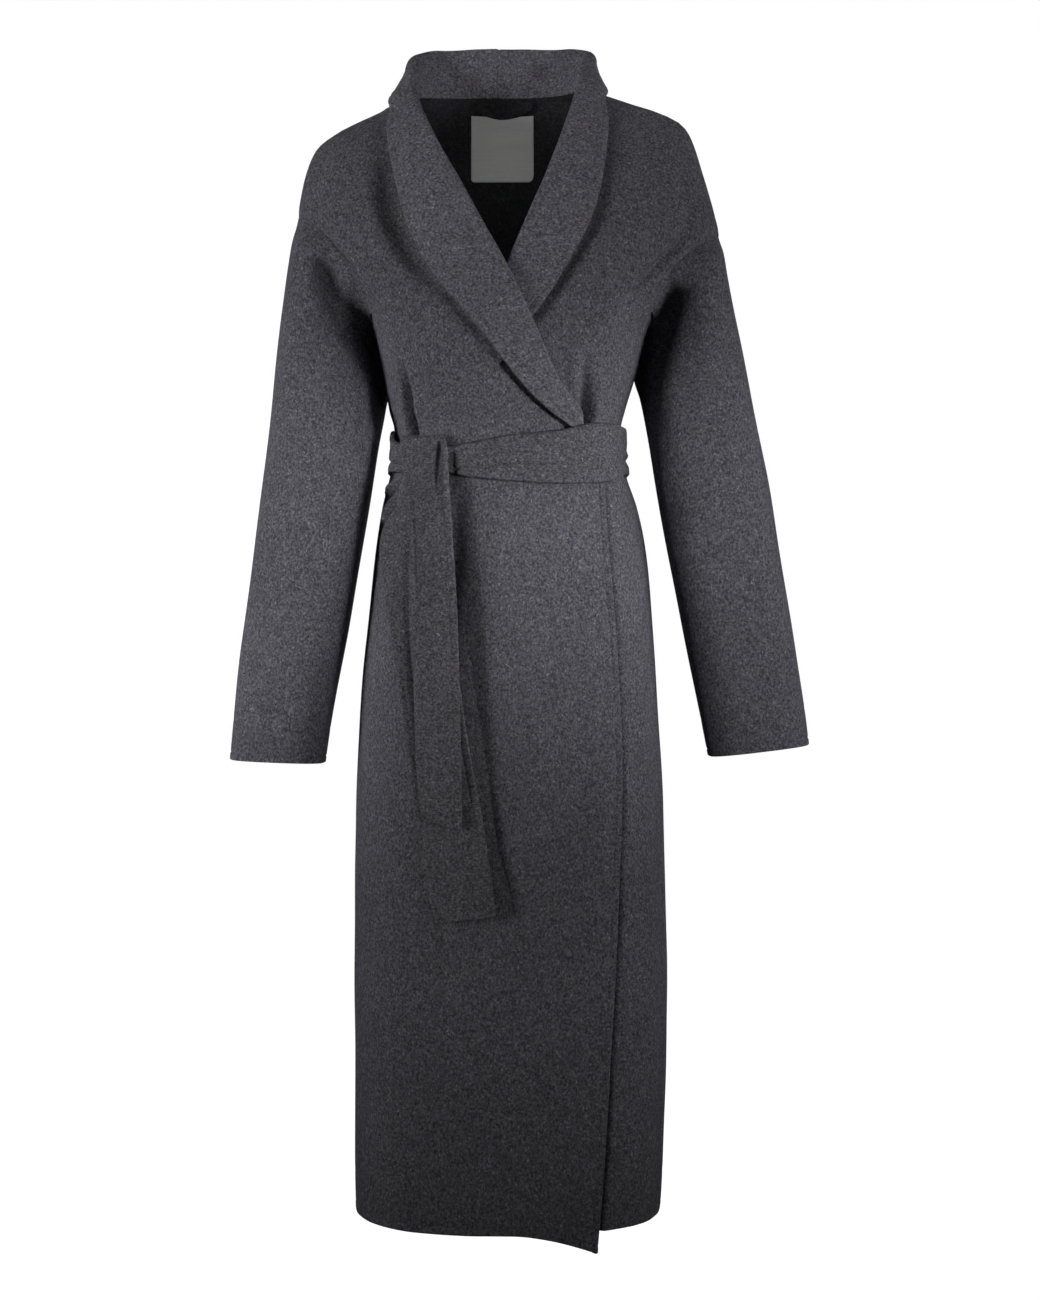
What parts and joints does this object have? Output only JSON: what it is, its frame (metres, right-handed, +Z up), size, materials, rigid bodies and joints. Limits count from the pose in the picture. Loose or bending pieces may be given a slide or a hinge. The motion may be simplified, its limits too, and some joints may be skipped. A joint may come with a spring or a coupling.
{
  "type": "wrap coat",
  "caption": "Long belted wrap coat with a shawl collar, dropped shoulders and full-length sleeves, standing hollow as it is worn.",
  "frame": {"origin": "middle of the neck at shoulder height, where the wearer holds the coat up", "axes": "+Z up along the coat's length, the front faces -Y, the wearer's right side is -X"},
  "size_m": [0.6217, 0.2768, 1.2953],
  "materials": {
    "wool": "brushed melange wool, matt with a short nap",
    "wool_belt": "brushed melange wool, matt with a short nap, folded double",
    "satin": "woven satin label, bare"
  },
  "bodies": {
    "root": {"back": "wool", "front_right": "wool", "front_left": "wool", "collar_right": "wool", "collar_left": "wool", "sleeve_right": "wool", "sleeve_left": "wool", "belt_wrap": "wool_belt", "belt_end_front": "wool_belt", "belt_end_back": "wool_belt", "label": "satin", "hanger_loop": "wool"}
  },
  "joints": []
}
